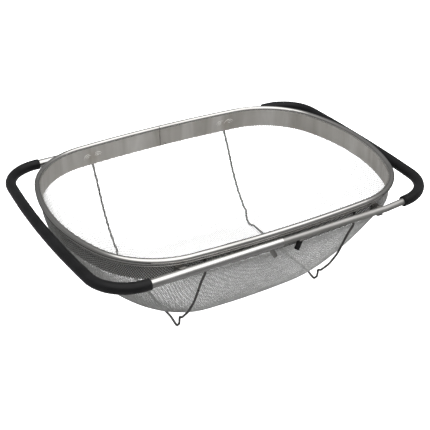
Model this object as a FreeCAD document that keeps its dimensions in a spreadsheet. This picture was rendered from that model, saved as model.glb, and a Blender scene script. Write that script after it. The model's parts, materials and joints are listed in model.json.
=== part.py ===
"""Over-the-sink mesh strainer with two pull-out handles, as a parametric FreeCAD document.

Frame: X along the basket, Y across it, +Z up. The origin is the centre of the footprint on the
surface that the four wire feet stand on. Lengths are in millimetres.
"""

import FreeCAD, Part
import math
import os
import Sketcher

from FreeCAD import Placement, Rotation, Vector

SIZES = {
    # rim, measured along the centreline of its rolled bead
    "rim_length": 343.0,
    "rim_width": 244.0,
    "rim_height": 114.0,
    "corner_radius": 77.0,
    "end_blend_angle": 20.4,
    "side_blend_angle": 4.5,
    "bead_radius": 3.0,
    "sheet_thickness": 0.8,
    "curl_stop_angle": 80.0,
    "band_depth": 19.5,
    "hoop_radius": 0.8,
    "hoop_drop": 5.0,
    "hoop_gap": 0.06,
    "seam_width": 0.8,
    "seam_rise": 0.35,
    "seam_end_gap": 0.5,
    # woven basket
    "mesh_thickness": 0.8,
    "mesh_gap": 0.1,
    "mesh_top_drop": 1.0,
    "bowl_depth": 88.0,
    "bowl_end_inset": 93.0,
    "bowl_side_inset": 59.0,
    # wire legs
    "leg_station": 80.0,
    "leg_wire_radius": 1.15,
    "leg_gap": 0.15,
    "weld_ball_radius": 6.0,
    "weld_ball_inset": 0.6,
    "weld_spacing": 9.0,
    "weld_drop": 11.0,
    # handles
    "rail_spread": 125.4,
    "rail_drop": 8.9,
    "tube_reach": 181.6,
    "tube_end_radius": 1008.0,
    "tube_bend_radius": 37.9,
    "rod_reach": 177.6,
    "rod_end_radius": 1589.0,
    "rod_bend_radius": 39.6,
    "rod_kink_station": 113.0,
    "rod_kink_radius": 60.0,
    "rod_rise": 2.5,
    "rod_pinch": 1.9,
    "tube_radius": 4.25,
    "tube_bore_radius": 3.5,
    "tube_mouth": 5.0,
    "rod_radius": 3.3,
    "rod_bore_radius": 2.5,
    "rod_tip": 117.0,
    "grip_radius": 5.3,
    "left_grip_end": 136.0,
    "right_grip_end": 133.6,
    "glide_radius": 3.45,
    "glide_length": 9.0,
    # guides that carry the handles on the rim
    "guide_station": 105.0,
    "guide_width": 6.0,
    "guide_wall": 1.2,
    "guide_clearance": 0.3,
    "guide_web": 6.0,
    "guide_top_edge": 1.0,
    "tube_guide_foot_edge": 0.1,
    "rod_guide_foot_edge": 1.8,
    # end stops on the handle arms
    "stop_radius": 2.35,
    "stop_length": 10.5,
    "stop_root": 2.0,
    "tube_stop_station": 18.0,
    "rod_stop_station": 21.0,
    "rod_stop_reach": 6.0,
    "pin_radius": 1.3,
    "pin_length": 8.0,
    "pin_bend_radius": 1.9,
    "cap_radius": 2.5,
    "cap_length": 8.5,
    "cap_top_drop": 0.3,
}

TUBE_STOP_LEAN = 31.0  # degrees that the tube's end stop leans from straight down
ROD_STOP_LEAN = 23.0
BOWL_POWER = 2.0 / 1.7  # shapes the bowl's wall between a cone and an ellipse
BOWL_END_POWER = 0.81
BOWL_SIDE_POWER = 0.5
BOWL_RING_ANGLES = (0.0, 10.0, 22.0, 34.0, 46.0, 58.0, 69.0, 79.0, 90.0)
POINTS_PER_QUARTER = 13
OUTLINE_STEPS = 720
TOOL_DEPTH = 30.0  # how far below the rim a cutting block starts
TOOL_HEIGHT = 40.0
ARM_TOOL_LENGTH = 60.0

doc = FreeCAD.newDocument("mesh_strainer")
sheet = doc.addObject("Spreadsheet::Sheet", "sizes")
for row, (alias, value) in enumerate(SIZES.items(), start=1):
    sheet.set(f"A{row}", alias)
    sheet.set(f"B{row}", str(value))
    sheet.setAlias(f"B{row}", alias)
doc.recompute()


def size(alias):
    """A driving dimension, read from the sheet."""
    return float(getattr(sheet, alias))


RIM_LENGTH, RIM_WIDTH, RIM_Z = size("rim_length"), size("rim_width"), size("rim_height")
BEAD, SKIN = size("bead_radius"), size("sheet_thickness")
MESH = size("mesh_thickness")
MESH_OUTSIDE = -BEAD + SKIN + size("mesh_gap") + MESH  # the mesh's outer face, outward from the bead's centreline
RAIL_Y, RAIL_Z = size("rail_spread"), RIM_Z - size("rail_drop")
LEG_X, WIRE = size("leg_station"), size("leg_wire_radius")
SIDES = (("near", -1), ("far", 1))
subparts = []


# ---------------------------------------------------------------- outline of the rim


class Outline:
    """The rim's plan: side, corner and end arcs, tangent to one another, in four equal quarters."""

    def __init__(self, length, width, corner, end_angle, side_angle):
        self.length, self.width, self.corner = length, width, corner
        self.end_angle, self.side_angle = math.radians(end_angle), math.radians(side_angle)
        end_rise, end_run = 1 - math.cos(self.end_angle), math.sin(self.end_angle)
        side_rise, side_run = 1 - math.cos(self.side_angle), math.sin(self.side_angle)
        free_x, free_y = length / 2 - corner, width / 2 - corner
        det = end_rise * side_rise - side_run * end_run
        end_extra = (free_x * side_rise - side_run * free_y) / det
        side_extra = (end_rise * free_y - end_run * free_x) / det
        self.end_radius, self.side_radius = corner + end_extra, corner + side_extra
        self.corner_centre = (side_extra * side_run, end_extra * end_run)

    def point(self, angle, offset=0.0):
        """The point whose outward normal is at this angle from +X, 0 to 90 degrees in radians."""
        if angle < self.end_angle:
            centre, radius = (self.length / 2 - self.end_radius, 0.0), self.end_radius
        elif angle > math.pi / 2 - self.side_angle:
            centre, radius = (0.0, self.width / 2 - self.side_radius), self.side_radius
        else:
            centre, radius = self.corner_centre, self.corner
        reach = radius + offset
        return centre[0] + reach * math.cos(angle), centre[1] + reach * math.sin(angle)

    def quarter_points(self, offset=0.0, count=POINTS_PER_QUARTER):
        """Points of one quarter from the X axis towards the Y axis, evenly shared by its length."""
        fine = [
            self.point(math.pi / 2 * step / OUTLINE_STEPS, offset)
            for step in range(OUTLINE_STEPS + 1)
        ]
        travelled = [0.0]
        for (x0, y0), (x1, y1) in zip(fine, fine[1:]):
            travelled.append(travelled[-1] + math.hypot(x1 - x0, y1 - y0))
        chosen = []
        for step in range(count):
            target = travelled[-1] * step / count
            index = next(i for i, reach in enumerate(travelled) if reach >= target)
            chosen.append(fine[index])
        return chosen

    def wire(self, offset, height):
        """The closed outline as eight tangent arcs."""
        breaks = [0.0, self.end_angle, math.pi / 2 - self.side_angle, math.pi / 2]
        spans = [(breaks[i], breaks[i + 1]) for i in range(3)]
        edges = []
        for sx, sy in ((1, 1), (-1, 1), (-1, -1), (1, -1)):
            quarter = []
            for start, stop in spans:
                places = (self.point(a, offset) for a in (start, (start + stop) / 2, stop))
                ends = [Vector(sx * x, sy * y, height) for x, y in places]
                quarter.append(Part.Arc(*ends).toShape())
            edges += quarter
        return Part.Wire(Part.__sortEdges__(edges))

    def side_at(self, x, offset=0.0):
        """How far the outline stands from the X axis at this place along it."""
        low, high = 0.0, math.pi / 2
        for _ in range(50):
            middle = (low + high) / 2
            if self.point(middle, offset)[0] > x:
                low = middle
            else:
                high = middle
        return self.point(low, offset)[1]


rim = Outline(
    RIM_LENGTH,
    RIM_WIDTH,
    size("corner_radius"),
    size("end_blend_angle"),
    size("side_blend_angle"),
)


# ---------------------------------------------------------------- helpers


def keep(obj, label):
    """Lists an object as a sub-part, under the name of its file."""
    obj.Label = label
    subparts.append(obj)
    return obj


def plane(body, role):
    """A body's own origin plane."""
    return next(f for f in body.Origin.OriginFeatures if f.Role == role)


def sketch_on(body, role, name, offset=Vector()):
    """A sketch on one of the body's origin planes."""
    sketch = body.newObject("Sketcher::SketchObject", name)
    sketch.AttachmentSupport = (plane(body, role), [""])
    sketch.MapMode = "FlatFace"
    sketch.AttachmentOffset = Placement(offset, Rotation())
    return sketch


def bind(sketch, constraint, name, formula):
    """Adds a named constraint and ties it to the sheet."""
    index = sketch.addConstraint(constraint)
    sketch.renameConstraint(index, name)
    sketch.setExpression(f"Constraints.{name}", formula)


def feature(label, shape):
    """A sub-part whose shape comes from a formula that no sketch holds."""
    obj = doc.addObject("Part::Feature", label)
    obj.Shape = shape
    return keep(obj, label)


def arc_through(centre, radius, start, stop):
    """An arc in the XZ plane between two angles in degrees."""
    angles = (start, (start + stop) / 2, stop)
    spots = [
        Vector(
            centre.x + radius * math.cos(math.radians(a)),
            0,
            centre.z + radius * math.sin(math.radians(a)),
        )
        for a in angles
    ]
    return Part.Arc(*spots).toShape()


def rounded_path(points, radii):
    """Straight runs joined by tangent arcs, one radius for each inner point."""
    edges, start = [], points[0]
    for before, corner, after, radius in zip(points, points[1:], points[2:], radii):
        back = (before - corner).normalize()
        ahead = (after - corner).normalize()
        half = back.getAngle(ahead) / 2
        reach = radius / math.tan(half)
        entry, leave = corner + back * reach, corner + ahead * reach
        centre = corner + (back + ahead).normalize() * (radius / math.sin(half))
        crown = centre + (corner - centre).normalize() * radius
        edges.append(Part.LineSegment(start, entry).toShape())
        edges.append(Part.Arc(entry, crown, leave).toShape())
        start = leave
    edges.append(Part.LineSegment(start, points[-1]).toShape())
    return Part.Wire(edges)


def wire_along(path, radius):
    """A round wire that follows a path."""
    first = path.Edges[0]
    start = first.valueAt(first.FirstParameter)
    along = first.tangentAt(first.FirstParameter)
    section = Part.Wire(Part.makeCircle(radius, start, along))
    return path.makePipeShell([section], True, True)


# ---------------------------------------------------------------- rim


def swept_ring(profile, label):
    """A closed ring with a constant section, which follows the rim's outline."""
    path = rim.wire(0.0, RIM_Z)
    return feature(label, path.makePipeShell([profile], True, True))


def rolled_section():
    """The flat band and its rolled top edge, cut at the +X end of the rim."""
    centre = Vector(RIM_LENGTH / 2, 0, RIM_Z)
    inner, stop = BEAD - SKIN, -size("curl_stop_angle")
    foot = RIM_Z - size("band_depth")
    outer_curl = [arc_through(centre, BEAD, 180, 90), arc_through(centre, BEAD, 90, stop)]
    inner_curl = [arc_through(centre, inner, stop, 90), arc_through(centre, inner, 90, 180)]
    lip = Part.LineSegment(
        outer_curl[1].Vertexes[-1].Point,
        Vector(
            centre.x + inner * math.cos(math.radians(stop)),
            0,
            centre.z + inner * math.sin(math.radians(stop)),
        ),
    ).toShape()
    band = Part.makePolygon(
        [
            Vector(centre.x - inner, 0, RIM_Z),
            Vector(centre.x - inner, 0, foot),
            Vector(centre.x - BEAD, 0, foot),
            Vector(centre.x - BEAD, 0, RIM_Z),
        ]
    )
    return Part.Wire(Part.__sortEdges__(outer_curl + [lip] + inner_curl + band.Edges))


swept_ring(rolled_section(), "rim_band")

HOOP_OFFSET = MESH_OUTSIDE + size("hoop_gap") + size("hoop_radius")
hoop_path = rim.wire(HOOP_OFFSET, RIM_Z - size("hoop_drop"))
feature("mesh_retaining_hoop", wire_along(hoop_path, size("hoop_radius")))

BAND_FACE_Y = RIM_WIDTH / 2 - BEAD  # inner face of the band at the middle of a long side
seam = doc.addObject("Part::Box", "rim_seam_weld")
keep(seam, "rim_seam_weld")
seam.setExpression("Length", "sizes.seam_width")
seam.setExpression("Width", "sizes.seam_rise")
seam.setExpression("Height", "sizes.band_depth - sizes.seam_end_gap")
seam_corner = Vector(
    -size("seam_width") / 2, BAND_FACE_Y - size("seam_rise"), RIM_Z - size("band_depth")
)
seam.Placement = Placement(seam_corner, Rotation())


# ---------------------------------------------------------------- woven basket


def bowl_ring(angle, offset):
    """One level of the bowl: 0 degrees at the foot of the band, 90 on its floor."""
    turn = math.radians(angle)
    inward = 1 - max(math.cos(turn), 0.0) ** BOWL_POWER
    half_length = RIM_LENGTH / 2 + MESH_OUTSIDE
    half_width = RIM_WIDTH / 2 + MESH_OUTSIDE
    scale_x = 1 - size("bowl_end_inset") * inward**BOWL_END_POWER / half_length
    scale_y = 1 - size("bowl_side_inset") * inward**BOWL_SIDE_POWER / half_width
    drop = size("bowl_depth") * math.sin(turn) ** BOWL_POWER
    height = RIM_Z - size("band_depth") - drop - offset * (angle / 90.0)
    spots = []
    for x, y in rim.quarter_points(MESH_OUTSIDE):
        bearing = math.atan2(y, x)
        spots.append(
            (x * scale_x + offset * math.cos(bearing), y * scale_y + offset * math.sin(bearing))
        )
    crown_y = rim.point(math.pi / 2, MESH_OUTSIDE)[1]
    return mirrored_spline(spots, crown_y * scale_y + offset, height)


def mirrored_spline(quarter, crown_y, height):
    """A closed curve with four equal quarters, from one quarter's points."""
    upper = quarter + [(0.0, crown_y)] + [(-x, y) for x, y in reversed(quarter)]
    loop = upper + [(x, -y) for x, y in reversed(upper[1:-1])]
    curve = Part.BSplineCurve()
    curve.interpolate(Points=[Vector(x, y, height) for x, y in loop], PeriodicFlag=True)
    return Part.Wire(curve.toShape())


def basket_block(offset, top):
    """The basket as a full block up to this height, its wall moved outward by the offset."""
    rings = [bowl_ring(angle, offset) for angle in BOWL_RING_ANGLES]
    bowl = Part.makeLoft(rings, True, False)
    foot = RIM_Z - size("band_depth")
    collar = Part.Face(rings[0]).extrude(Vector(0, 0, top - foot))
    return bowl.fuse(collar)


MESH_TOP = RIM_Z - size("mesh_top_drop")
feature("mesh_basket", basket_block(0.0, MESH_TOP).cut(basket_block(-MESH, MESH_TOP + MESH)))


# ---------------------------------------------------------------- wire legs


def leg_path(station):
    """Down one wall, through a foot, under the basket, and up the other wall.

    Each corner of the half path is its Y, its Z and the radius of its bend.
    """
    top_y = rim.side_at(LEG_X, MESH_OUTSIDE) + WIRE + size("leg_gap")
    half = [
        (top_y, RIM_Z - 7.0, None),  # cut end, under the bead
        (top_y, RIM_Z - 20.5, 10.0),  # leaves the band for the mesh
        (112.0, 80.0, 30.0),  # down the wall
        (98.5, 50.0, 80.0),
        (86.5, 31.0, 60.0),
        (74.0, 16.8, 3.0),  # step above the foot
        (69.4, 14.6, 2.2),
        (68.4, 6.0, 6.0),
        (63.2, 0.2, 4.2),  # the foot
        (52.0, 3.4, 8.0),  # run under the floor
    ]
    mirrored = [(-y, z, radius) for y, z, radius in reversed(half)]
    whole = half + mirrored
    spots = [Vector(station, y, z) for y, z, _ in whole]
    radii = [radius for _, _, radius in whole[1:-1]]
    return rounded_path(spots, radii)


BALL = size("weld_ball_radius")
HALF_SPACING = size("weld_spacing") / 2
band_inside = Part.Face(rim.wire(-BEAD, RIM_Z - TOOL_DEPTH)).extrude(Vector(0, 0, TOOL_HEIGHT))
for side, sign in (("left", -1), ("right", 1)):
    leg = wire_along(leg_path(sign * LEG_X), WIRE)
    leg.translate(Vector(0, 0, -leg.optimalBoundingBox(True, False).ZMin))  # stands on its feet
    feature(f"leg_wire_{side}", leg)
    for end, across in SIDES:
        nuggets = []
        for shift in (-HALF_SPACING, HALF_SPACING):
            ball_y = rim.side_at(LEG_X + shift, -BEAD) + BALL - size("weld_ball_inset")
            place = Vector(sign * (LEG_X + shift), across * ball_y, RIM_Z - size("weld_drop"))
            nuggets.append(Part.makeSphere(BALL, place).common(band_inside))
        feature(f"leg_weld_{side}_{end}", Part.makeCompound(nuggets))


# ---------------------------------------------------------------- handles


class BowedEnd:
    """The plan of a handle's outer end: two corner arcs, tangent to one long arc between them."""

    def __init__(self, prefix, spread):
        self.radius, self.bend = size(f"{prefix}_end_radius"), size(f"{prefix}_bend_radius")
        self.centre_x = size(f"{prefix}_reach") - self.radius
        self.bend_y = spread - self.bend
        self.bend_x = self.centre_x + math.sqrt((self.radius - self.bend) ** 2 - self.bend_y**2)
        self.turn = math.atan2(self.bend_y, self.bend_x - self.centre_x)


def u_path(body, name, inner_end):
    """The plan of the left handle, which opens towards +X, drawn on the body's XY plane."""
    sketch = sketch_on(body, "XY_Plane", name)
    end, up = BowedEnd("tube", RAIL_Y), Vector(0, 0, 1)
    quarter, turn = math.pi / 2, end.turn

    def arc(x, y, radius, start, stop):
        return Part.ArcOfCircle(Part.Circle(Vector(x, y, 0), up, radius), start, stop)

    geometry = [
        Part.LineSegment(Vector(-inner_end, RAIL_Y, 0), Vector(-end.bend_x, RAIL_Y, 0)),
        arc(-end.bend_x, end.bend_y, end.bend, quarter, math.pi - turn),
        arc(-end.centre_x, 0, end.radius, math.pi - turn, math.pi + turn),
        arc(-end.bend_x, -end.bend_y, end.bend, math.pi + turn, 3 * quarter),
        Part.LineSegment(Vector(-end.bend_x, -RAIL_Y, 0), Vector(-inner_end, -RAIL_Y, 0)),
    ]
    sketch.addGeometry(geometry, False)
    constrain = Sketcher.Constraint
    sketch.addConstraint(
        [
            constrain("Horizontal", 0),
            constrain("Horizontal", 4),
            constrain("Tangent", 0, 2, 1, 1),
            constrain("Tangent", 1, 2, 2, 1),
            constrain("Tangent", 2, 2, 3, 1),
            constrain("Tangent", 3, 2, 4, 1),
            constrain("Equal", 1, 3),
            constrain("PointOnObject", 2, 3, -1),
            constrain("Symmetric", 0, 1, 4, 2, -1),
        ]
    )
    bind(sketch, constrain("Radius", 1, end.bend), "bend", "sizes.tube_bend_radius")
    bind(sketch, constrain("Radius", 2, end.radius), "end", "sizes.tube_end_radius")
    bind(sketch, constrain("DistanceY", -1, 1, 0, 1, RAIL_Y), "spread", "sizes.rail_spread")
    centre = constrain("DistanceX", -1, 1, 2, 3, -end.centre_x)
    bind(sketch, centre, "reach", "sizes.tube_end_radius - sizes.tube_reach")
    return sketch


def ring_section(body, name, inner_end, outer_radius, bore_radius):
    """The tube's section at the open end of the far arm."""
    sketch = sketch_on(body, "YZ_Plane", name, Vector(0, 0, -inner_end))
    for index, (alias, radius) in enumerate((outer_radius, bore_radius)):
        sketch.addGeometry(Part.Circle(Vector(RAIL_Y, 0, 0), Vector(0, 0, 1), radius), False)
        sketch.addConstraint(Sketcher.Constraint("PointOnObject", index, 3, -1))
        bind(
            sketch,
            Sketcher.Constraint("DistanceX", -1, 1, index, 3, RAIL_Y),
            f"{alias}_spread",
            "sizes.rail_spread",
        )
        bind(sketch, Sketcher.Constraint("Radius", index, radius), alias, f"sizes.{alias}")
    return sketch


def bent_tube(label, end_alias, outer_alias, bore_alias):
    """A sketched U-shaped tube of the left handle. end_alias says where its arms end."""
    body = doc.addObject("PartDesign::Body", label)
    inner_end = size(end_alias)
    path = u_path(body, f"{label}_path", inner_end)
    arm_end = Sketcher.Constraint("DistanceX", 0, 1, -1, 1, inner_end)
    bind(path, arm_end, "arm_end", f"sizes.{end_alias}")
    section = ring_section(
        body,
        f"{label}_section",
        inner_end,
        (outer_alias, size(outer_alias)),
        (bore_alias, size(bore_alias)),
    )
    section.setExpression("AttachmentOffset.Base.z", f"-sizes.{end_alias}")
    doc.recompute()
    pipe = body.newObject("PartDesign::AdditivePipe", f"{label}_pipe")
    pipe.Profile = section
    pipe.Spine = (path, [f"Edge{i + 1}" for i in range(5)])
    pipe.Mode = "Frenet"
    body.Tip = pipe
    body.Placement = Placement(Vector(0, 0, RAIL_Z), Rotation())
    body.setExpression("Placement.Base.z", "sizes.rim_height - sizes.rail_drop")
    return keep(body, label)


def rod_path(start_x):
    """The right handle's middle line. Past its guides it rises and narrows a little to its end."""
    end = BowedEnd("rod", RAIL_Y - size("rod_pinch"))
    kink = Vector(size("rod_kink_station"), RAIL_Y, RAIL_Z)
    run_x, run_y = kink.x - end.bend_x, RAIL_Y - end.bend_y
    leave = math.atan2(run_y, run_x) - math.acos(end.bend / math.hypot(run_x, run_y))
    slope = math.degrees(math.asin(size("rod_rise") / (size("rod_reach") - kink.x)))
    tilt = Placement(Vector(), Rotation(Vector(0, 1, 0), -slope), Vector(kink.x, 0, kink.z))

    def spot(centre_x, centre_y, radius, angle):
        x, y = centre_x + radius * math.cos(angle), centre_y + radius * math.sin(angle)
        return tilt.multVec(Vector(x, y, RAIL_Z))

    def arc(centre_x, centre_y, radius, start, stop):
        angles = (start, (start + stop) / 2, stop)
        return Part.Arc(*[spot(centre_x, centre_y, radius, angle) for angle in angles]).toShape()

    entry = spot(end.bend_x, end.bend_y, end.bend, leave)
    if start_x < kink.x:
        arm = rounded_path([Vector(start_x, RAIL_Y, RAIL_Z), kink, entry], [size("rod_kink_radius")])
    else:
        start = kink + (entry - kink) * ((start_x - kink.x) / (entry.x - kink.x))
        arm = Part.Wire(Part.LineSegment(start, entry).toShape())
    mirrored = arm.mirror(Vector(), Vector(0, 1, 0))
    corner = arc(end.bend_x, end.bend_y, end.bend, leave, end.turn)
    bow = arc(end.centre_x, 0, end.radius, end.turn, -end.turn)
    far_corner = arc(end.bend_x, -end.bend_y, end.bend, -end.turn, -leave)
    return Part.Wire(Part.__sortEdges__([*arm.Edges, corner, bow, far_corner, *mirrored.Edges]))


def rod_sleeve(label, start_x, outer_radius, bore_radius):
    """A tube along the right handle's middle line, which bends in space so that no sketch holds it."""
    path = rod_path(start_x)
    return feature(label, round_sweep(path, outer_radius).cut(round_sweep(path, bore_radius)))


def round_sweep(path, radius):
    """A round bar along a path that bends in space."""
    first = path.Edges[0]
    start = first.valueAt(first.FirstParameter)
    section = Part.Wire(Part.makeCircle(radius, start, first.tangentAt(first.FirstParameter)))
    return path.makePipeShell([section], True, False)


bent_tube("left_handle_tube", "tube_mouth", "tube_radius", "tube_bore_radius")
bent_tube("left_grip", "left_grip_end", "grip_radius", "tube_radius")
rod_sleeve("right_handle_rod", -size("rod_tip"), size("rod_radius"), size("rod_bore_radius"))
rod_sleeve("right_grip", size("right_grip_end"), size("grip_radius"), size("rod_radius"))


def cylinder(name, radius, length, place, radius_formula, length_formula):
    """A parametric cylinder that starts at a place and runs along that placement's Z axis."""
    obj = doc.addObject("Part::Cylinder", name)
    obj.Radius, obj.Height = radius, length
    obj.setExpression("Radius", radius_formula)
    obj.setExpression("Height", length_formula)
    obj.Placement = place
    return obj


def leaning_down(spot, lean):
    """A place whose Z axis points down, leaned towards +X by this many degrees."""
    return Placement(spot, Rotation(Vector(0, 1, 0), 180 - lean))


def arm_space(name, alias, middle_x, y):
    """The space that an arm of this radius fills, around one place on it."""
    start = Vector(middle_x - ARM_TOOL_LENGTH / 2, y, RAIL_Z)
    place = Placement(start, Rotation(Vector(0, 1, 0), 90))
    return cylinder(name, size(alias), ARM_TOOL_LENGTH, place, f"sizes.{alias}", str(ARM_TOOL_LENGTH))


for end, across in SIDES:
    y = across * RAIL_Y

    # a nylon glide on the rod's inner tip, which runs in the tube's bore
    tip = Placement(Vector(-size("rod_tip"), y, RAIL_Z), Rotation(Vector(0, 1, 0), -90))
    glide = cylinder(
        f"rod_glide_{end}",
        size("glide_radius"),
        size("glide_length"),
        tip,
        "sizes.glide_radius",
        "sizes.glide_length",
    )
    keep(glide, f"rod_glide_{end}")

    # a bent metal stop under the mouth of the tube
    stop_root = Vector(-size("tube_stop_station"), y, RAIL_Z - size("stop_root"))
    blank = cylinder(
        f"tube_stop_blank_{end}",
        size("stop_radius"),
        size("stop_length") + size("stop_root"),
        leaning_down(stop_root, TUBE_STOP_LEAN),
        "sizes.stop_radius",
        "sizes.stop_length + sizes.stop_root",
    )
    stop = doc.addObject("Part::Cut", f"tube_stop_{end}")
    stop.Base = blank
    stop.Tool = arm_space(f"tube_space_{end}", "tube_radius", -size("tube_stop_station"), y)
    keep(stop, f"tube_stop_{end}")

    # a pin welded along the underside of the rod, bent down into a rubber cap
    pin_z = RAIL_Z - size("rod_radius") - size("pin_radius")
    corner = Vector(size("rod_stop_station") - size("rod_stop_reach"), y, pin_z)
    lean = math.radians(ROD_STOP_LEAN)
    downward = Vector(-math.sin(lean), 0, -math.cos(lean))
    pin_start = Vector(size("rod_stop_station"), y, pin_z)
    pin_end = corner + downward * size("pin_length")
    pin_path = rounded_path([pin_start, corner, pin_end], [size("pin_bend_radius")])
    pin = feature(f"rod_stop_pin_{end}", wire_along(pin_path, size("pin_radius")))

    cap_place = leaning_down(corner + downward * size("cap_top_drop"), -ROD_STOP_LEAN)
    shell = cylinder(
        f"stop_cap_blank_{end}",
        size("cap_radius"),
        size("cap_length"),
        cap_place,
        "sizes.cap_radius",
        "sizes.cap_length",
    )
    relief = doc.addObject("Part::MultiFuse", f"stop_cap_relief_{end}")
    relief.Shapes = [
        pin,
        arm_space(f"rod_space_{end}", "rod_radius", size("rod_stop_station"), y),
    ]
    cap = doc.addObject("Part::Cut", f"stop_cap_{end}")
    cap.Base, cap.Tool = shell, relief
    keep(cap, f"stop_cap_{end}")


# ---------------------------------------------------------------- guides on the rim


def guide(label, sign, across, carried):
    """A C-shaped clip, welded to the rim over the mesh, that hooks a handle's arm from inside."""
    body = doc.addObject("PartDesign::Body", f"{label}_clip")
    sketch = sketch_on(body, "YZ_Plane", f"{label}_section")
    bore = size(f"{carried}_radius") + size("guide_clearance")
    outer = bore + size("guide_wall")
    half_web = size("guide_web") / 2
    top_x, foot_x = -size("guide_top_edge"), size(f"{carried}_guide_foot_edge")
    web_x = -math.sqrt(outer**2 - half_web**2)
    web_end = rim.side_at(size("guide_station") + size("guide_width") / 2, -BEAD) - RAIL_Y

    def on_circle(x, radius, upward):
        return Vector(x, upward * math.sqrt(radius**2 - x**2), 0)

    def arc(radius, start, stop):
        circle = Part.Circle(Vector(), Vector(0, 0, 1), radius)
        angles = [math.atan2(spot.y, spot.x) % (2 * math.pi) for spot in (start, stop)]
        return Part.ArcOfCircle(circle, *angles)

    top_out, top_in = on_circle(top_x, outer, 1), on_circle(top_x, bore, 1)
    foot_out, foot_in = on_circle(foot_x, outer, -1), on_circle(foot_x, bore, -1)
    web = [Vector(x, y, 0) for x, y in ((web_x, half_web), (web_end, half_web))]
    web += [Vector(spot.x, -spot.y, 0) for spot in reversed(web)]
    sketch.addGeometry(
        [
            arc(outer, top_out, web[0]),
            Part.LineSegment(web[0], web[1]),
            Part.LineSegment(web[1], web[2]),
            Part.LineSegment(web[2], web[3]),
            arc(outer, web[3], foot_out),
            Part.LineSegment(foot_out, foot_in),
            arc(bore, top_in, foot_in),
            Part.LineSegment(top_in, top_out),
        ],
        False,
    )
    constrain = Sketcher.Constraint
    joined = [(0, 2, 1, 1), (1, 2, 2, 1), (2, 2, 3, 1), (3, 2, 4, 1)]
    joined += [(4, 2, 5, 1), (5, 2, 6, 2), (6, 1, 7, 1), (7, 2, 0, 1)]
    sketch.addConstraint([constrain("Coincident", *ends) for ends in joined])
    sketch.addConstraint([constrain("Coincident", index, 3, -1, 1) for index in (0, 4, 6)])
    sketch.addConstraint([constrain("Vertical", 5), constrain("Vertical", 7)])
    sketch.addConstraint([constrain("Horizontal", 1), constrain("Symmetric", 2, 1, 2, 2, -1)])
    sketch.addConstraint(constrain("Equal", 0, 4))
    bore_formula = f"sizes.{carried}_radius + sizes.guide_clearance"
    bind(sketch, constrain("Radius", 6, bore), "bore", bore_formula)
    bind(sketch, constrain("Radius", 0, outer), "outer", f"{bore_formula} + sizes.guide_wall")
    bind(sketch, constrain("DistanceY", 2, 2, 2, 1, 2 * half_web), "web", "sizes.guide_web")
    bind(sketch, constrain("DistanceX", 0, 1, -1, 1, -top_x), "top_edge", "sizes.guide_top_edge")
    foot_edge = constrain("DistanceX", -1, 1, 4, 2, foot_x)
    bind(sketch, foot_edge, "foot_edge", f"sizes.{carried}_guide_foot_edge")
    sketch.addConstraint(constrain("DistanceX", 2, 1, -1, 1, -web_end))
    doc.recompute()
    pad = body.newObject("PartDesign::Pad", f"{label}_pad")
    pad.Profile = sketch
    pad.setExpression("Length", "sizes.guide_width")
    pad.Midplane = True
    body.Tip = pad
    turn = Rotation(Vector(0, 0, 1), 0 if across > 0 else 180)
    place = Vector(sign * size("guide_station"), across * RAIL_Y, RAIL_Z)
    body.Placement = Placement(place, turn)
    trimmed = doc.addObject("Part::Cut", label)
    trimmed.Base, trimmed.Tool = body, basket_space
    return keep(trimmed, label)


basket_space = doc.addObject("Part::Feature", "basket_space")
basket_outline = rim.wire(MESH_OUTSIDE, RIM_Z - TOOL_DEPTH)
basket_space.Shape = Part.Face(basket_outline).extrude(Vector(0, 0, TOOL_HEIGHT))

for end, across in SIDES:
    guide(f"left_guide_{end}", -1, across, "tube")
    guide(f"right_guide_{end}", 1, across, "rod")


# ---------------------------------------------------------------- checks and files

doc.recompute()
for obj in doc.Objects:
    bad = [state for state in obj.State if state in ("Invalid", "Error")]
    if bad:
        raise RuntimeError(f"{obj.Label} is {bad}")

os.makedirs("parts", exist_ok=True)
for obj in subparts:
    shape = obj.Shape
    if shape.isNull() or not shape.isValid() or not shape.Solids:
        raise RuntimeError(f"{obj.Label} has no valid solid")
    shape.exportStep(os.path.join("parts", f"{obj.Label}.step"))
    box = shape.BoundBox
    print(
        f"{obj.Label}: {len(shape.Solids)} solid, {shape.Volume / 1000:.2f} cm3,"
        f" x {box.XMin:.1f}..{box.XMax:.1f} y {box.YMin:.1f}..{box.YMax:.1f}"
        f" z {box.ZMin:.1f}..{box.ZMax:.1f}"
    )
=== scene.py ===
"""Looks for an over-sink mesh strainer: woven basket, rolled rim, wire legs and two pull-out handles.

Metres, in the CAD's own frame: X along the basket, Y across it, +Z up, feet on z = 0.
"""

import json
import math

import bpy
import numpy as np
from mathutils import Matrix, Vector
from mathutils.bvhtree import BVHTree


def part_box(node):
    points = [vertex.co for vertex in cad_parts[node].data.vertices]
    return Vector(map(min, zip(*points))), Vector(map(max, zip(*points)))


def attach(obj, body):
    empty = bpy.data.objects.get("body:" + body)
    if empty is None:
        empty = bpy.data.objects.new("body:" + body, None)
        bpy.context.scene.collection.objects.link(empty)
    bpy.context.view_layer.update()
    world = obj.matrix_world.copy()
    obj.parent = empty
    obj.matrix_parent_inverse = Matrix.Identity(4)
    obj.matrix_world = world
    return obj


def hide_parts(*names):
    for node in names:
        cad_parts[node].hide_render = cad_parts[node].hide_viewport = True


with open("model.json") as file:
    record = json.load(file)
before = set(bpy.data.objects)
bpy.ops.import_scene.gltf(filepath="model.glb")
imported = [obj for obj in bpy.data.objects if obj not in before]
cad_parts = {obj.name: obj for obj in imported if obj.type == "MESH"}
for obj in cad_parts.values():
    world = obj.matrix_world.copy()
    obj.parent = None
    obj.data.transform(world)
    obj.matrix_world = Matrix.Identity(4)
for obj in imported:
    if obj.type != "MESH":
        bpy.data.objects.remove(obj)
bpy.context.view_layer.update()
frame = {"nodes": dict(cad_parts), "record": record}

MM = 0.001
rng = np.random.default_rng(7)

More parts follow.
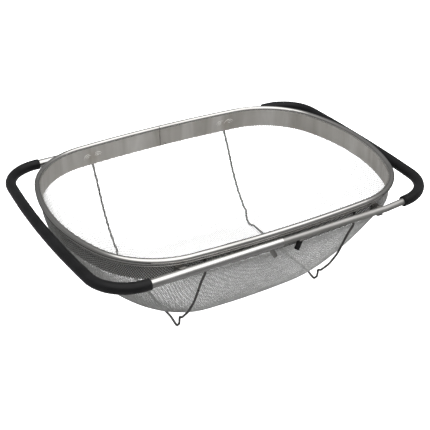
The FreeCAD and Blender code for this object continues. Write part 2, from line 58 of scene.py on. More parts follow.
# ---------------------------------------------------------------- places, read from the frame

BAND_LOW, BAND_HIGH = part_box("rim_band")
MESH_LOW, MESH_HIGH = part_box("mesh_basket")
BEAD = 3.0 * MM  # radius of the rolled edge
SHEET = 0.8 * MM  # thickness of the band, and of the wire cloth
RIM_Z = BAND_HIGH.z - BEAD
BAND_FOOT = BAND_LOW.z
BEAD_FOOT = RIM_Z - 4.0 * MM  # just under the rolled edge
HALF_WIDTH = BAND_HIGH.y - BEAD  # to the rolled edge's centreline, at the middle of a long side
RAIL_Z = (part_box("left_grip")[0].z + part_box("left_grip")[1].z) / 2


# ---------------------------------------------------------------- camera


CAMERA_AZIMUTH = math.radians(-30.25)
CAMERA_ELEVATION = math.radians(30.42)
CAMERA_DISTANCE = 0.9691  # from the middle of the rim
CAMERA_ASIDE = 0.00071  # how far the camera stands left of the line to the rim's middle
CAMERA_BELOW = 0.03987  # and how far below it
LENS, SENSOR = 82.53, 36.0  # millimetres


def place_camera():
    """Looks down into the basket from its front left."""
    azimuth, elevation = CAMERA_AZIMUTH, CAMERA_ELEVATION
    back = Vector(
        (
            math.sin(azimuth) * math.cos(elevation),
            -math.cos(azimuth) * math.cos(elevation),
            math.sin(elevation),
        )
    )
    right = Vector((math.cos(azimuth), math.sin(azimuth), 0))
    up = back.cross(right)
    data = bpy.data.cameras.new("camera")
    data.sensor_width = SENSOR
    data.lens = LENS
    camera = bpy.data.objects.new("camera", data)
    spot = Vector((0, 0, RIM_Z)) + back * CAMERA_DISTANCE
    spot = spot - right * CAMERA_ASIDE - up * CAMERA_BELOW
    turned = Matrix((right, up, back)).transposed().to_4x4()
    camera.matrix_world = Matrix.Translation(spot) @ turned
    bpy.context.scene.collection.objects.link(camera)
    bpy.context.scene.camera = camera


place_camera()


# ---------------------------------------------------------------- materials


class Paint:
    """A Principled material with short calls for the patterns that drive it."""

    def __init__(self, name, metallic, **sockets):
        self.material = bpy.data.materials.new(name)
        self.material.use_nodes = True
        self.tree = self.material.node_tree
        self.shader = self.tree.nodes["Principled BSDF"]
        self.shader.inputs["Metallic"].default_value = metallic
        for socket, value in sockets.items():
            self.shader.inputs[socket.replace("_", " ")].default_value = value
        self.coords = self.tree.nodes.new("ShaderNodeTexCoord").outputs["Object"]
        self.height = None

    def link(self, source, target):
        self.tree.links.new(source, target)

    def noise(self, stretch, detail=3.0, rough=0.55, distortion=0.0):
        """Noise with this many features per metre along X, Y and Z."""
        mapping = self.tree.nodes.new("ShaderNodeMapping")
        mapping.inputs["Scale"].default_value = stretch
        self.link(self.coords, mapping.inputs["Vector"])
        noise = self.tree.nodes.new("ShaderNodeTexNoise")
        noise.inputs["Scale"].default_value = 1.0
        noise.inputs["Detail"].default_value = detail
        noise.inputs["Roughness"].default_value = rough
        noise.inputs["Distortion"].default_value = distortion
        self.link(mapping.outputs["Vector"], noise.inputs["Vector"])
        return noise.outputs["Fac"]

    def spread(self, pattern, low, high, start=0.3, end=0.7):
        """A pattern mapped to a range of numbers."""
        node = self.tree.nodes.new("ShaderNodeMapRange")
        for socket, value in zip(
            ("From Min", "From Max", "To Min", "To Max"), (start, end, low, high)
        ):
            node.inputs[socket].default_value = value
        self.link(pattern, node.inputs["Value"])
        return node.outputs["Result"]

    def blend(self, pattern, low, high):
        """Two colours, mixed by a pattern. Either may be a socket."""
        mix = self.tree.nodes.new("ShaderNodeMix")
        mix.data_type = "RGBA"
        self.link(pattern, mix.inputs["Factor"])
        for socket, value in (("A", low), ("B", high)):
            target = next(s for s in mix.inputs if s.name == socket and s.type == "RGBA")
            if isinstance(value, bpy.types.NodeSocket):
                self.link(value, target)
            else:
                target.default_value = (*value, 1.0)
        return next(s for s in mix.outputs if s.type == "RGBA")

    def above(self, low, high):
        """0 below one height, 1 above another."""
        parts = self.tree.nodes.new("ShaderNodeSeparateXYZ")
        self.link(self.coords, parts.inputs["Vector"])
        return self.spread(parts.outputs["Z"], 0.0, 1.0, low, high)

    def outward(self):
        """1 where a face looks away from the object's middle line, 0 where it looks inwards."""
        normal = self.tree.nodes.new("ShaderNodeNewGeometry").outputs["Normal"]
        level = self.tree.nodes.new("ShaderNodeVectorMath")
        level.operation = "MULTIPLY"
        level.inputs[1].default_value = (1.0, 1.0, 0.0)
        self.link(self.coords, level.inputs[0])
        aim = self.tree.nodes.new("ShaderNodeVectorMath")
        aim.operation = "DOT_PRODUCT"
        self.link(level.outputs["Vector"], aim.inputs[0])
        self.link(normal, aim.inputs[1])
        soft = 5.0 * MM
        return self.spread(aim.outputs["Value"], 0.0, 1.0, -soft, soft)

    def mixed(self, pattern, low, high):
        """Two numbers, mixed by a pattern. Both are sockets."""
        mix = self.tree.nodes.new("ShaderNodeMix")
        self.link(pattern, mix.inputs[0])
        self.link(low, mix.inputs[2])
        self.link(high, mix.inputs[3])
        return mix.outputs[0]

    def near(self, spots, radius):
        """1 at any of these places, falling to 0 at the radius."""
        total = None
        for spot in spots:
            gap = self.tree.nodes.new("ShaderNodeVectorMath")
            gap.operation = "DISTANCE"
            gap.inputs[1].default_value = spot
            self.link(self.coords, gap.inputs[0])
            closeness = self.spread(gap.outputs["Value"], 1.0, 0.0, 0.0, radius)
            if total is None:
                total = closeness
            else:
                most = self.tree.nodes.new("ShaderNodeMath")
                most.operation = "MAXIMUM"
                self.link(total, most.inputs[0])
                self.link(closeness, most.inputs[1])
                total = most.outputs["Value"]
        return total

    def colour(self, socket):
        self.link(socket, self.shader.inputs["Base Color"])

    def roughness(self, socket):
        self.link(socket, self.shader.inputs["Roughness"])

    def bump(self, pattern, depth):
        """Adds a relief of this depth in metres. A second call lies on the first."""
        node = self.tree.nodes.new("ShaderNodeBump")
        node.inputs["Distance"].default_value = depth
        self.link(pattern, node.inputs["Height"])
        if self.height is not None:
            self.link(self.height, node.inputs["Normal"])
        self.height = node.outputs["Normal"]
        self.link(self.height, self.shader.inputs["Normal"])


def weld_spots():
    """Where the tops of the leg wires are welded to the band, on its inner face."""
    spots = []
    for side in ("left", "right"):
        for end in ("near", "far"):
            low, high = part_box(f"leg_weld_{side}_{end}")
            face = low.y if end == "far" else high.y
            spots.append(Vector(((low.x + high.x) / 2, face, (low.z + high.z) / 2)))
    return spots


def rim_steel():
    """Rolled stainless sheet: a bright bead, and a satin band with soft streaks and heat marks.

    The band's outer face, which the cloth covers, is painted near black: painted shade for the dim gap
    behind the cloth. The band is half metallic, so that it stays light where it mirrors the dim part of
    the studio.
    """
    paint = Paint("rim_steel", 1.0)
    waves = paint.noise((16.0, 16.0, 3.0), detail=2.0)
    streaks = paint.noise((42.0, 42.0, 6.0), detail=3.0, distortion=0.6)
    smudges = paint.noise((30.0, 30.0, 25.0), detail=3.0)
    outward = paint.outward()
    bead_inside = paint.above(RIM_Z - 0.7 * MM, RIM_Z + 0.1 * MM)
    bead_outside = paint.above(BEAD_FOOT - 1.0 * MM, BEAD_FOOT)
    bead = paint.mixed(outward, bead_inside, bead_outside)
    band = paint.blend(paint.spread(waves, 0.0, 1.0), (0.56, 0.545, 0.515), (0.70, 0.685, 0.66))
    band = paint.blend(paint.spread(streaks, 0.0, 1.0), band, (0.40, 0.38, 0.35))
    heat = paint.near(weld_spots(), 11 * MM)
    band = paint.blend(paint.spread(heat, 0.0, 0.35, 0.1, 0.9), band, (0.33, 0.27, 0.21))
    # painted shade: the band's outer face, behind the cloth, is painted near black for the dim gap
    # there
    band = paint.blend(outward, band, (0.13, 0.125, 0.12))
    bright = paint.blend(paint.spread(waves, 0.0, 1.0), (0.62, 0.61, 0.585), (0.78, 0.77, 0.75))
    paint.colour(paint.blend(bead, band, bright))
    satin = paint.spread(smudges, 0.34, 0.46)
    polished = paint.spread(smudges, 0.06, 0.12)
    paint.roughness(paint.mixed(bead, satin, polished))
    paint.link(paint.spread(bead, 0.5, 1.0, 0.0, 1.0), paint.shader.inputs["Metallic"])
    paint.bump(paint.spread(waves, 0.0, 1.0, 0.2, 0.8), 0.35 * MM)
    return paint.material


def wire_steel(name, dark, light, roughness, grain, metallic=1.0):
    """Drawn wire: lines, dull patches, and a little dirt."""
    paint = Paint(name, metallic)
    patches = paint.noise((90.0, 90.0, 90.0), detail=4.0)
    paint.colour(paint.blend(paint.spread(patches, 0.0, 1.0), dark, light))
    paint.roughness(paint.spread(patches, roughness[1], roughness[0]))
    paint.bump(paint.noise((grain, grain, grain), detail=3.0), 0.01 * MM)
    return paint.material


def tube_steel(name, dark, light, roughness):
    """Polished tube: long fine scratches, soft smears, and small waves from the drawing."""
    paint = Paint(name, 1.0)
    smears = paint.noise((35.0, 150.0, 150.0), detail=4.0)
    scratches = paint.noise((40.0, 2400.0, 2400.0), detail=3.0)
    paint.colour(paint.blend(paint.spread(smears, 0.0, 1.0), dark, light))
    paint.roughness(paint.spread(smears, *roughness))
    paint.bump(paint.noise((14.0, 14.0, 14.0), detail=1.0), 0.15 * MM)
    paint.bump(scratches, 0.003 * MM)
    return paint.material


def rubber(name, tone):
    """Matte moulded rubber with a fine skin, dusty patches and a soft sheen."""
    paint = Paint(name, 0.0, Sheen_Weight=0.03, Sheen_Roughness=0.45, Specular_IOR_Level=0.2)
    dust = paint.noise((45.0, 45.0, 45.0), detail=5.0)
    skin = paint.noise((2600.0, 2600.0, 2600.0), detail=2.0)
    dark = tuple(0.7 * part for part in tone)
    light = tuple(1.6 * part for part in tone)
    paint.colour(paint.blend(paint.spread(dust, 0.0, 1.0), dark, light))
    paint.roughness(paint.spread(dust, 0.3, 0.44))
    paint.bump(dust, 0.12 * MM)
    paint.bump(skin, 0.03 * MM)
    return paint.material


def nylon():
    """Natural nylon, faintly mottled."""
    paint = Paint("glide_nylon", 0.0, Subsurface_Weight=0.1, Subsurface_Scale=1.0 * MM)
    mottle = paint.noise((400.0, 400.0, 400.0), detail=3.0)
    paint.colour(paint.blend(paint.spread(mottle, 0.0, 1.0), (0.78, 0.76, 0.70), (0.86, 0.85, 0.80)))
    paint.roughness(paint.spread(mottle, 0.35, 0.5))
    paint.bump(mottle, 0.03 * MM)
    return paint.material


MATERIALS = {
    "rim_steel": rim_steel(),
    "hoop_steel": wire_steel("hoop_steel", (0.50, 0.49, 0.47), (0.68, 0.67, 0.65), (0.18, 0.3), 900),
    "weld_steel": wire_steel("weld_steel", (0.30, 0.28, 0.25), (0.58, 0.56, 0.53), (0.25, 0.5), 900),
    "seam_weld": wire_steel("seam_weld", (0.05, 0.045, 0.04), (0.14, 0.13, 0.12), (0.4, 0.6), 900),
    "scroll_weld": wire_steel(
        "scroll_weld", (0.70, 0.69, 0.66), (0.90, 0.89, 0.86), (0.4, 0.6), 900, metallic=0.4
    ),
    "woven_mesh": wire_steel("woven_mesh", (0.67, 0.67, 0.66), (0.84, 0.84, 0.83), (0.30, 0.42), 700),
    "leg_wire": wire_steel("leg_wire", (0.16, 0.155, 0.15), (0.26, 0.25, 0.24), (0.24, 0.4), 900),
    "handle_tube": tube_steel("handle_tube", (0.66, 0.65, 0.63), (0.84, 0.835, 0.82), (0.15, 0.26)),
    "handle_rod": tube_steel("handle_rod", (0.50, 0.49, 0.47), (0.66, 0.65, 0.63), (0.42, 0.56)),
    "guide_steel": wire_steel("guide_steel", (0.34, 0.33, 0.31), (0.48, 0.47, 0.45), (0.22, 0.36), 600),
    "stop_steel": wire_steel("stop_steel", (0.42, 0.41, 0.39), (0.56, 0.55, 0.53), (0.2, 0.34), 600),
    "grip_rubber": rubber("grip_rubber", (0.006, 0.006, 0.0064)),
    "cap_rubber": rubber("cap_rubber", (0.008, 0.008, 0.008)),
    "glide_nylon": nylon(),
}


def dress_cad_nodes():
    """Gives every CAD node the look of its slot in the record."""
    for subpart in frame["record"]["subparts"]:
        node = frame["nodes"][subpart["node"]]
        node.data.materials.clear()
        node.data.materials.append(MATERIALS[subpart["material_slot"]])


dress_cad_nodes()


def piece(name, slot, body, vertices, faces, look=None):
    """A new mesh object that rides on a body and takes its slot's material, or another look."""
    mesh = bpy.data.meshes.new(name)
    vertices = np.asarray(vertices, np.float32)
    faces = np.asarray(faces, np.int32)
    mesh.vertices.add(len(vertices))
    mesh.vertices.foreach_set("co", vertices.ravel())
    mesh.loops.add(faces.size)
    mesh.loops.foreach_set("vertex_index", faces.ravel())
    mesh.polygons.add(len(faces))
    starts = np.arange(len(faces), dtype=np.int32) * faces.shape[1]
    mesh.polygons.foreach_set("loop_start", starts)
    mesh.polygons.foreach_set("use_smooth", np.full(len(faces), True))
    mesh.update(calc_edges=True)
    mesh.validate()
    mesh.materials.append(MATERIALS[look or slot])
    obj = bpy.data.objects.new(name, mesh)
    bpy.context.scene.collection.objects.link(obj)
    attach(obj, body)
    return obj


def shell_tree(node):
    """A CAD node's surface, ready for rays."""
    shell = frame["nodes"][node].data
    return BVHTree.FromPolygons(
        [v.co for v in shell.vertices], [tuple(p.vertices) for p in shell.polygons]
    )


def unit(rows):
    """Rows of vectors, each made one long."""
    return rows / np.maximum(np.linalg.norm(rows, axis=1), 1e-12)[:, None]


def circle(centre, radius, up, aside, sides):
    """Points round a centre, from its up direction towards its side direction."""
    angles = 2 * math.pi * np.arange(sides) / sides
    return centre + radius * (np.cos(angles)[:, None] * up + np.sin(angles)[:, None] * aside)


def ring_faces(low, high, sides):
    """Faces between two rings of points, given the index of each ring's first point."""
    here = np.arange(sides)
    there = (here + 1) % sides
    return np.stack([low + here, low + there, high + there, high + here], axis=-1)


# ---------------------------------------------------------------- woven basket

PITCH = 2.0 * MM  # from wire to wire in the flat cloth
CLOTH_WIRE = 0.23 * MM  # radius of the cloth's wires
CRIMP = 0.2 * MM  # how far a wire swings to each side as it goes over and under
CLOTH_SIDES = 4  # of a wire's cross-section
BEARINGS = 91  # planes in which the wall is measured, over a quarter of the turn
STEPS_UP = 200  # places on the wall in each plane
SMOOTHINGS = 3
GROUPS = 4  # pieces for each direction of the weave
FEWEST_CROSSINGS = 4  # on each half of a wire that is long enough to hold
LONGEST_REACH = 0.3  # more than any wire runs from the middle of the cloth
HALVINGS = 40


def basket_profiles():
    """The basket's inner wall in vertical planes through its middle, for one quarter of the turn.

    Gives each plane's length of wall, and tables of radius and height at even shares of it.
    """
    tree = shell_tree("mesh_basket")
    top = MESH_HIGH.z - 0.3 * MM
    # every ray starts here, in the open middle of the basket, where it sees the whole wall
    eye = Vector((0, 0, (MESH_LOW.z + MESH_HIGH.z) / 2 + 10 * MM))
    bearings = np.linspace(0, math.pi / 2, BEARINGS)
    outlines = []
    for bearing in bearings:
        outward = Vector((math.cos(bearing), math.sin(bearing), 0))
        rim_hit = tree.ray_cast(Vector((0, 0, top)), outward)[0]
        highest = math.atan2(top - eye.z, rim_hit.to_2d().length)
        outline = []
        for elevation in np.linspace(-math.pi / 2, highest, STEPS_UP + 1):
            way = outward * math.cos(elevation) + Vector((0, 0, math.sin(elevation)))
            hit = tree.ray_cast(eye, way)[0]
            outline.append((hit.to_2d().length, hit.z))
        outlines.append(outline)
    outlines = np.array(outlines)
    steps = np.linalg.norm(np.diff(outlines, axis=1), axis=2)
    travelled = np.concatenate([np.zeros((BEARINGS, 1)), np.cumsum(steps, axis=1)], axis=1)
    lengths = travelled[:, -1]
    shares = np.linspace(0, 1, STEPS_UP + 1)
    table = np.empty_like(outlines)
    for i in range(BEARINGS):
        for axis in (0, 1):
            table[i, :, axis] = np.interp(shares * lengths[i], travelled[i], outlines[i, :, axis])
    for _ in range(SMOOTHINGS):  # takes out the facets of the CAD mesh
        table[1:-1] = (table[:-2] + 2 * table[1:-1] + table[2:]) / 4
        table[:, 1:-1] = (table[:, :-2] + 2 * table[:, 1:-1] + table[:, 2:]) / 4
    return bearings, lengths, table


BEARING_ANGLES, WALL_LENGTHS, WALL = basket_profiles()


def wall_length(bearing):
    """Length of cloth from the middle of the floor to the top edge, at a bearing in one quarter."""
    return np.interp(bearing, BEARING_ANGLES, WALL_LENGTHS)


def drape(u, v):
    """Where a point of the flat cloth lies on the basket's inner wall."""
    radius = np.hypot(u, v)
    bearing = np.arctan2(np.abs(v), np.abs(u))
    row = bearing / (math.pi / 2) * (BEARINGS - 1)
    column = np.clip(radius / wall_length(bearing), 0, 1) * STEPS_UP
    i = np.minimum(row.astype(int), BEARINGS - 2)
    j = np.minimum(column.astype(int), STEPS_UP - 1)
    a, b = (row - i)[:, None], (column - j)[:, None]
    spot = (1 - a) * ((1 - b) * WALL[i, j] + b * WALL[i, j + 1])
    spot = spot + a * ((1 - b) * WALL[i + 1, j] + b * WALL[i + 1, j + 1])
    x = np.sign(u) * spot[:, 0] * np.cos(bearing)
    y = np.sign(v) * spot[:, 0] * np.sin(bearing)
    return np.column_stack([x, y, spot[:, 1]])


def outward_normals(u, v):
    """The cloth's unit normal, pointing out of the basket."""
    reach = 0.5 * MM
    along = drape(u + reach, v) - drape(u - reach, v)
    across = drape(u, v + reach) - drape(u, v - reach)
    normal = np.cross(across, along)
    return normal / np.linalg.norm(normal, axis=1)[:, None]


def half_reach(offset, lengthwise):
    """How far a wire at this offset runs from the cloth's centreline before it leaves the cloth."""
    low, high = 0.0, LONGEST_REACH
    for _ in range(HALVINGS):
        middle = (low + high) / 2
        u, v = (middle, offset) if lengthwise else (offset, middle)
        inside = math.hypot(u, v) < wall_length(math.atan2(abs(v), abs(u)))
        low, high = (middle, high) if inside else (low, middle)
    return low


def woven_wire(index, lengthwise):
    """Centres and frames of one wire's points, or None where it's too short to hold."""
    offset = (index + 0.5) * PITCH
    reach = half_reach(offset, lengthwise)
    crossings = int(reach / PITCH * 2)
    if crossings < FEWEST_CROSSINGS:
        return None
    halves = np.arange(-crossings, crossings + 1)
    run = halves * PITCH / 2
    u, v = (run, np.full_like(run, offset)) if lengthwise else (np.full_like(run, offset), run)
    # crossings lie at odd halves of the pitch, where the wire is all the way over or under
    over_or_under = np.where((halves - 1) // 2 % 2 == 0, 1.0, -1.0)
    swing = np.where(halves % 2 == 1, over_or_under, 0.0)
    parity = 1.0 if index % 2 == 0 else -1.0
    turn = 1.0 if lengthwise else -1.0
    normal = outward_normals(u, v)
    middle = drape(u, v) + normal * (SHEET / 2)
    centres = middle + normal * (CRIMP * swing * parity * turn)[:, None]
    tangent = unit(np.gradient(centres, axis=0))
    side = unit(np.cross(tangent, normal))
    return centres, unit(np.cross(side, tangent)), side


def cloth_wires(wires):
    """One mesh of many wires, each (centres, ups, sides), with a cap on both ends."""
    vertices, faces, first = [], [], 0
    angles = 2 * math.pi * (np.arange(CLOTH_SIDES) + 0.5) / CLOTH_SIDES
    here = np.arange(CLOTH_SIDES)[None]
    there = (here + 1) % CLOTH_SIDES
    for centres, ups, asides in wires:
        rings = (
            centres[:, None]
            + CLOTH_WIRE * np.cos(angles)[None, :, None] * ups[:, None]
            + CLOTH_WIRE * np.sin(angles)[None, :, None] * asides[:, None]
        )
        vertices.append(rings.reshape(-1, 3))
        low = first + CLOTH_SIDES * np.arange(len(centres) - 1)[:, None]
        high = low + CLOTH_SIDES
        quads = np.stack([low + here, low + there, high + there, high + here], axis=-1)
        faces.append(quads.reshape(-1, 4))
        last = first + CLOTH_SIDES * (len(centres) - 1)
        faces.append([[first + 3, first + 2, first + 1, first]])
        faces.append([[last, last + 1, last + 2, last + 3]])
        first += CLOTH_SIDES * len(centres)
    return np.concatenate(vertices), np.concatenate(faces)


def weave():
    """Every wire of the cloth, in groups that each make one piece."""
    for lengthwise, word in ((True, "long"), (False, "cross")):
        widest = WALL_LENGTHS[-1] if lengthwise else WALL_LENGTHS[0]
        limit = int(widest / PITCH) + 1
        wires = [woven_wire(index, lengthwise) for index in range(-limit, limit)]
        wires = [wire for wire in wires if wire is not None]
        totals = np.cumsum([len(wire[0]) for wire in wires])
        groups = [[] for _ in range(GROUPS)]
        for wire, total in zip(wires, totals):
            groups[min(int(GROUPS * (total - 1) / totals[-1]), GROUPS - 1)].append(wire)
        for number, group in enumerate(groups, start=1):
            vertices, faces = cloth_wires(group)
            cloth = piece(f"mesh_{word}_wires_{number}", "woven_mesh", "basket", vertices, faces)
            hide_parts("mesh_basket")


weave()


# ---------------------------------------------------------------- grips


GRIP_RADIUS = 5.3 * MM
GRIP_SIDES = 40
GRIP_ARM_STEPS, GRIP_TURN_STEPS, GRIP_BOW_STEPS = 6, 28, 16
GRIP_ROUND = 1.1 * MM  # rounding of a grip's cut ends
GRIP_END_RINGS = ((0.0, 0.80), (0.08, 0.88), (0.3, 0.95), (0.65, 0.99), (1.0, 1.0))
GRIP_RIPPLE = 0.004  # share of the radius
GRIP_WAVES = (23.0, 61.0)  # ripples per metre

# Each U in plan. Its arms lie at the spread up to the kink, then lean in to the end spread and
# rise. One long arc with the end radius joins the two corner bends.
LEFT_U = {
    "start": 136.0 * MM,
    "reach": 181.6 * MM,
    "end_radius": 1008.0 * MM,
    "bend": 37.9 * MM,
    "bore": 4.25 * MM,
    "kink": 113.0 * MM,
    "spread": 125.4 * MM,
    "end_spread": 125.4 * MM,
    "rise": 0.0,
}
RIGHT_U = {
    "start": 133.6 * MM,
    "reach": 177.6 * MM,
    "end_radius": 1589.0 * MM,
    "bend": 39.6 * MM,
    "bore": 3.3 * MM,
    "kink": 113.0 * MM,
    "spread": 125.4 * MM,
    "end_spread": 123.5 * MM,
    "rise": 2.5 * MM,
}


def arc(centre_x, centre_y, radius, start, stop, steps):
    """Spots on an arc in the plan, without its last one."""
    return [
        (centre_x + radius * math.cos(t), centre_y + radius * math.sin(t))
        for t in np.linspace(start, stop, steps)[:-1]
    ]


def u_outline(start_x, u):
    """The middle line of a U-shaped sleeve before it is tilted, with its end at +X."""
    end_radius, bend = u["end_radius"], u["bend"]
    centre_x = u["reach"] - end_radius
    bend_y = u["end_spread"] - bend
    bend_x = centre_x + math.sqrt((end_radius - bend) ** 2 - bend_y**2)
    turn = math.atan2(bend_y, bend_x - centre_x)
    run_x, run_y = u["kink"] - bend_x, u["spread"] - bend_y
    leave = math.atan2(run_y, run_x) - math.acos(bend / math.hypot(run_x, run_y))
    entry_x, entry_y = bend_x + bend * math.cos(leave), bend_y + bend * math.sin(leave)
    lean = (entry_y - u["spread"]) / (entry_x - u["kink"])
    arm = [
        (x, u["spread"] + lean * (x - u["kink"]))
        for x in np.linspace(start_x, entry_x, GRIP_ARM_STEPS)[:-1]
    ]
    spots = arm + arc(bend_x, bend_y, bend, leave, turn, GRIP_TURN_STEPS)
    spots += arc(centre_x, 0.0, end_radius, turn, 0.0, GRIP_BOW_STEPS)
    spots += [(u["reach"], 0.0)] + [(x, -y) for x, y in reversed(spots)]
    return np.array([(x, y, 0.0) for x, y in spots])


def rounded_ends(middle):
    """The sleeve's centres, with extra ones at its ends, and each one's share of the radius."""
    along = unit(np.gradient(middle, axis=0))
    into, out = along[0] * GRIP_ROUND, along[-1] * GRIP_ROUND
    starts = [middle[0] + into * share for share, _ in GRIP_END_RINGS]
    stops = [middle[-1] - out * share for share, _ in reversed(GRIP_END_RINGS)]
    widths = [width for _, width in GRIP_END_RINGS]
    shares = np.concatenate([widths, np.ones(len(middle) - 2), widths[::-1]])
    return np.concatenate([starts, middle[1:-1], stops]), shares


def grip(label, body, outward, u):
    """A soft sleeve with rounded ends, a slightly wavy skin and an open bore round its tube."""
    slope = math.asin(u["rise"] / (u["reach"] - u["kink"]))
    start_x = u["kink"] + (u["start"] - u["kink"]) / math.cos(slope)
    centres, shares = rounded_ends(u_outline(start_x, u))
    travelled = np.concatenate([[0], np.cumsum(np.linalg.norm(np.diff(centres, axis=0), axis=1))])
    for waves in GRIP_WAVES:
        phase = rng.uniform(0, 6)
        ripple = GRIP_RIPPLE * np.sin(travelled * waves * 2 * math.pi + phase)
        shares = shares * (1 + ripple - GRIP_RIPPLE)
    along = unit(np.gradient(centres, axis=0))
    up = np.array((0.0, 0.0, 1.0))
    asides = unit(np.cross(up, along))
    skin = [
        circle(centre, GRIP_RADIUS * share, up, aside, GRIP_SIDES)
        for centre, share, aside in zip(centres, shares, asides)
    ]
    bore = [
        circle(centre, u["bore"], up, aside, GRIP_SIDES)
        for centre, aside in zip(centres[::-1], asides[::-1])
    ]
    flat = np.concatenate([*skin, *bore])
    away, height = flat[:, 0] - u["kink"], flat[:, 2]
    tilted_x = u["kink"] + away * math.cos(slope) - height * math.sin(slope)
    tilted_z = RAIL_Z + away * math.sin(slope) + height * math.cos(slope)
    vertices = np.stack([outward * tilted_x, outward * flat[:, 1], tilted_z], axis=-1)
    count = len(skin) + len(bore)
    faces = [
        ring_faces(ring * GRIP_SIDES, (ring + 1) % count * GRIP_SIDES, GRIP_SIDES)
        for ring in range(count)
    ]
    sleeve = piece(f"{label}_sleeve", "grip_rubber", body, vertices, np.concatenate(faces))
    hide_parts(label)


grip("left_grip", "left_handle", -1, LEFT_U)
grip("right_grip", "right_handle", 1, RIGHT_U)


# ---------------------------------------------------------------- seam and weld marks


BAND_TREE = shell_tree("rim_band")
STROKE_SIDES = 8  # of a stroke's cross-section
NEARLY_Y = (0.0, 1.0, 0.001)  # a direction that no stroke runs in exactly
SEAM_STEPS_UP, SEAM_STEPS_OVER = 24, 20
BURRS = 5
BURR_WIDTHS = (0.1, 0.35, 0.45, 0.35, 0.1)  # radii along a burr, in millimetres
SCROLL_PAIR = ((-5.0, 0.35), (5.0, -0.35))  # millimetres along the band, and lean in radians
CURLS = 3  # in each scroll, one outside the other
CURL_GAP = 1.7  # millimetres from curl to curl
CURL_STEPS = 12
CURL_STRETCH = 1.15  # along the band


def bead_strokes(name, look, strokes, replaced):
    """Thin raised lines of weld metal. Each stroke is a row of points and one of radii."""
    vertices, faces, first = [], [], 0
    for points, radii in strokes:
        points = np.array(points)
        along = unit(np.gradient(points, axis=0))
        ups = unit(np.cross(along, NEARLY_Y))
        asides = unit(np.cross(along, ups))
        for point, radius, up, aside in zip(points, radii, ups, asides):
            vertices.append(circle(point, radius, up, aside, STROKE_SIDES))
        for ring in range(len(points) - 1):
            low = first + ring * STROKE_SIDES
            faces.append(ring_faces(low, low + STROKE_SIDES, STROKE_SIDES))
        first += len(points) * STROKE_SIDES
    vertices, faces = np.concatenate(vertices), np.concatenate(faces)
    marks = piece(name, "weld_steel", "basket", vertices, faces, look)
    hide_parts(*replaced)


def face_y(x, across):
    """Where the band's inner face is at this place along it, on one of its long sides."""
    start = Vector((x, 0, (BAND_FOOT + RIM_Z) / 2))
    return BAND_TREE.ray_cast(start, Vector((0, across, 0)))[0].y


def seam():
    """The band's butt weld, up its inner face and over the rolled edge, with a burr at its foot."""
    face = HALF_WIDTH - BEAD
    heights = np.linspace(BAND_FOOT + 0.2 * MM, RIM_Z, SEAM_STEPS_UP)
    line = [(rng.normal(0, 0.08) * MM, face, z) for z in heights]
    for turn in np.linspace(math.pi, 0.1, SEAM_STEPS_OVER)[1:]:
        y, z = HALF_WIDTH + BEAD * math.cos(turn), RIM_Z + BEAD * math.sin(turn)
        line.append((rng.normal(0, 0.06) * MM, y, z))
    strokes = [(line, [rng.uniform(0.20, 0.34) * MM for _ in line])]
    for _ in range(BURRS):
        x = rng.uniform(4.0, 7.5) * MM
        z = BAND_FOOT + rng.uniform(0.3, 2.2) * MM
        turn = rng.uniform(0, math.pi)
        reach = rng.uniform(0.9, 1.6) * MM
        step_x, step_z = reach * math.cos(turn), 0.6 * reach * math.sin(turn)
        spots = [
            (x + step_x * t, face - 0.1 * MM, z + step_z * t)
            for t in np.linspace(-0.5, 0.5, len(BURR_WIDTHS))
        ]
        strokes.append((spots, [width * MM for width in BURR_WIDTHS]))
    bead_strokes("rim_seam_line", "seam_weld", strokes, ["rim_seam_weld"])


def scrolls(side, end):
    """The pair of curled marks that the welding tips leave on the band at a leg wire's top."""
    node = f"leg_weld_{side}_{end}"
    low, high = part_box(node)
    middle_x, middle_z = (low.x + high.x) / 2, (low.z + high.z) / 2 - 1.0 * MM
    across = 1 if end == "far" else -1
    strokes = []
    for shift, lean in SCROLL_PAIR:
        for curl in range(CURLS):
            radius = (CURL_GAP * (curl + 1) + rng.uniform(-0.2, 0.2)) * MM
            begin = rng.uniform(0.3, 0.9) + lean
            sweep = rng.uniform(1.6, 2.6)
            spots, widths = [], []
            for t in np.linspace(0, 1, CURL_STEPS):
                turn = begin + sweep * t
                x = middle_x + shift * MM + radius * math.cos(turn) * CURL_STRETCH
                z = middle_z + radius * math.sin(turn)
                spots.append((x, face_y(x, across) - across * 0.02 * MM, z))
                widths.append((0.08 + 0.26 * math.sin(math.pi * t)) * MM)
            strokes.append((spots, widths))
    bead_strokes(f"weld_scrolls_{side}_{end}", "scroll_weld", strokes, [node])


seam()
for side in ("left", "right"):
    for end in ("near", "far"):
        scrolls(side, end)


# ---------------------------------------------------------------- floor and light


# The surround's tone from straight below (0) to the middle of the bright ceiling (1).
SKY = (
    (0.0, 0.16),
    (0.35, 0.13),
    (0.55, 0.11),
    (0.76, 0.17),
    (0.85, 0.32),
    (0.895, 1.0),
    (1.0, 1.0),
)
SKY_STRENGTH = 1.5
SKY_TILT = math.radians(-16)  # leans the ceiling's middle from overhead towards -Y
FLOOR_HALF = 8.0
LIGHT_SIZE = (1.3, 1.0)
LIGHT_PLACE = Vector((0.0, 0.15, 1.35))
LIGHT_AIM = Vector((0.0, 0.0, 0.05))
LIGHT_WATTS = 20.0


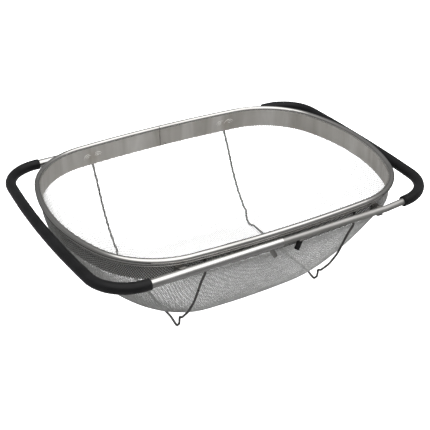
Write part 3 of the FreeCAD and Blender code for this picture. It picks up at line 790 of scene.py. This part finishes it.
def make_floor():
    """A white floor that glows, so that it stays white under the basket."""
    mesh = bpy.data.meshes.new("floor")
    half = FLOOR_HALF
    corners = [(-half, -half, 0), (half, -half, 0), (half, half, 0), (-half, half, 0)]
    mesh.from_pydata(corners, [], [(0, 1, 2, 3)])
    floor = bpy.data.objects.new("floor", mesh)
    bpy.context.scene.collection.objects.link(floor)
    paint = Paint("floor", 0.0, Roughness=0.9, Emission_Strength=1.0, Specular_IOR_Level=0.1)
    paint.shader.inputs["Emission Color"].default_value = (1.0, 1.0, 1.0, 1.0)
    grain = paint.noise((3.0, 3.0, 3.0), detail=2.0)
    paint.colour(paint.blend(grain, (0.90, 0.90, 0.90), (0.92, 0.92, 0.92)))
    paint.material.cycles.emission_sampling = "NONE"
    mesh.materials.append(paint.material)
    floor.visible_glossy = False


def hang_light():
    """A large soft light overhead, which polished metal doesn't mirror."""
    data = bpy.data.lights.new("overhead", "AREA")
    data.shape = "RECTANGLE"
    data.size, data.size_y = LIGHT_SIZE
    data.energy = LIGHT_WATTS
    lamp = bpy.data.objects.new("overhead", data)
    lamp.location = LIGHT_PLACE
    lamp.rotation_euler = (LIGHT_AIM - LIGHT_PLACE).to_track_quat("-Z", "Y").to_euler()
    lamp.visible_glossy = False
    bpy.context.scene.collection.objects.link(lamp)


def sky_tone(tree):
    """What the metal mirrors: a bright ceiling in a dim studio."""
    coords = tree.nodes.new("ShaderNodeTexCoord").outputs["Generated"]
    aim = tree.nodes.new("ShaderNodeVectorMath")
    aim.operation = "DOT_PRODUCT"
    aim.inputs[1].default_value = (0.0, math.sin(SKY_TILT), math.cos(SKY_TILT))
    tree.links.new(coords, aim.inputs[0])
    height = tree.nodes.new("ShaderNodeMapRange")
    height.inputs["From Min"].default_value = -1.0
    tree.links.new(aim.outputs["Value"], height.inputs["Value"])
    ramp = tree.nodes.new("ShaderNodeValToRGB")
    while len(ramp.color_ramp.elements) < len(SKY):
        ramp.color_ramp.elements.new(0.5)
    for element, (position, tone) in zip(ramp.color_ramp.elements, SKY):
        element.position = position
        element.color = (tone, tone, tone, 1.0)
    tree.links.new(height.outputs["Result"], ramp.inputs["Fac"])
    return ramp.outputs["Color"]


def surround():
    """A studio for the metal to mirror, behind a plain white background."""
    world = bpy.data.worlds.new("studio")
    bpy.context.scene.world = world
    world.use_nodes = True
    tree = world.node_tree
    tree.nodes.clear()
    around = tree.nodes.new("ShaderNodeBackground")
    around.inputs["Strength"].default_value = SKY_STRENGTH
    seen = tree.nodes.new("ShaderNodeBackground")
    seen.inputs["Color"].default_value = (1.0, 1.0, 1.0, 1.0)
    ray = tree.nodes.new("ShaderNodeLightPath")
    mix = tree.nodes.new("ShaderNodeMixShader")
    out = tree.nodes.new("ShaderNodeOutputWorld")
    for source, target in (
        (sky_tone(tree), around.inputs["Color"]),
        (ray.outputs["Is Camera Ray"], mix.inputs["Fac"]),
        (around.outputs["Background"], mix.inputs[1]),
        (seen.outputs["Background"], mix.inputs[2]),
        (mix.outputs["Shader"], out.inputs["Surface"]),
    ):
        tree.links.new(source, target)


def picture_settings():
    """Plain tones, and a denoiser that keeps the weave."""
    scene = bpy.context.scene
    scene.view_settings.view_transform = "Standard"
    scene.cycles.use_denoising = True
    scene.cycles.denoising_prefilter = "NONE"
    scene.cycles.sample_clamp_indirect = 2.0


make_floor()
hang_light()
surround()
picture_settings()
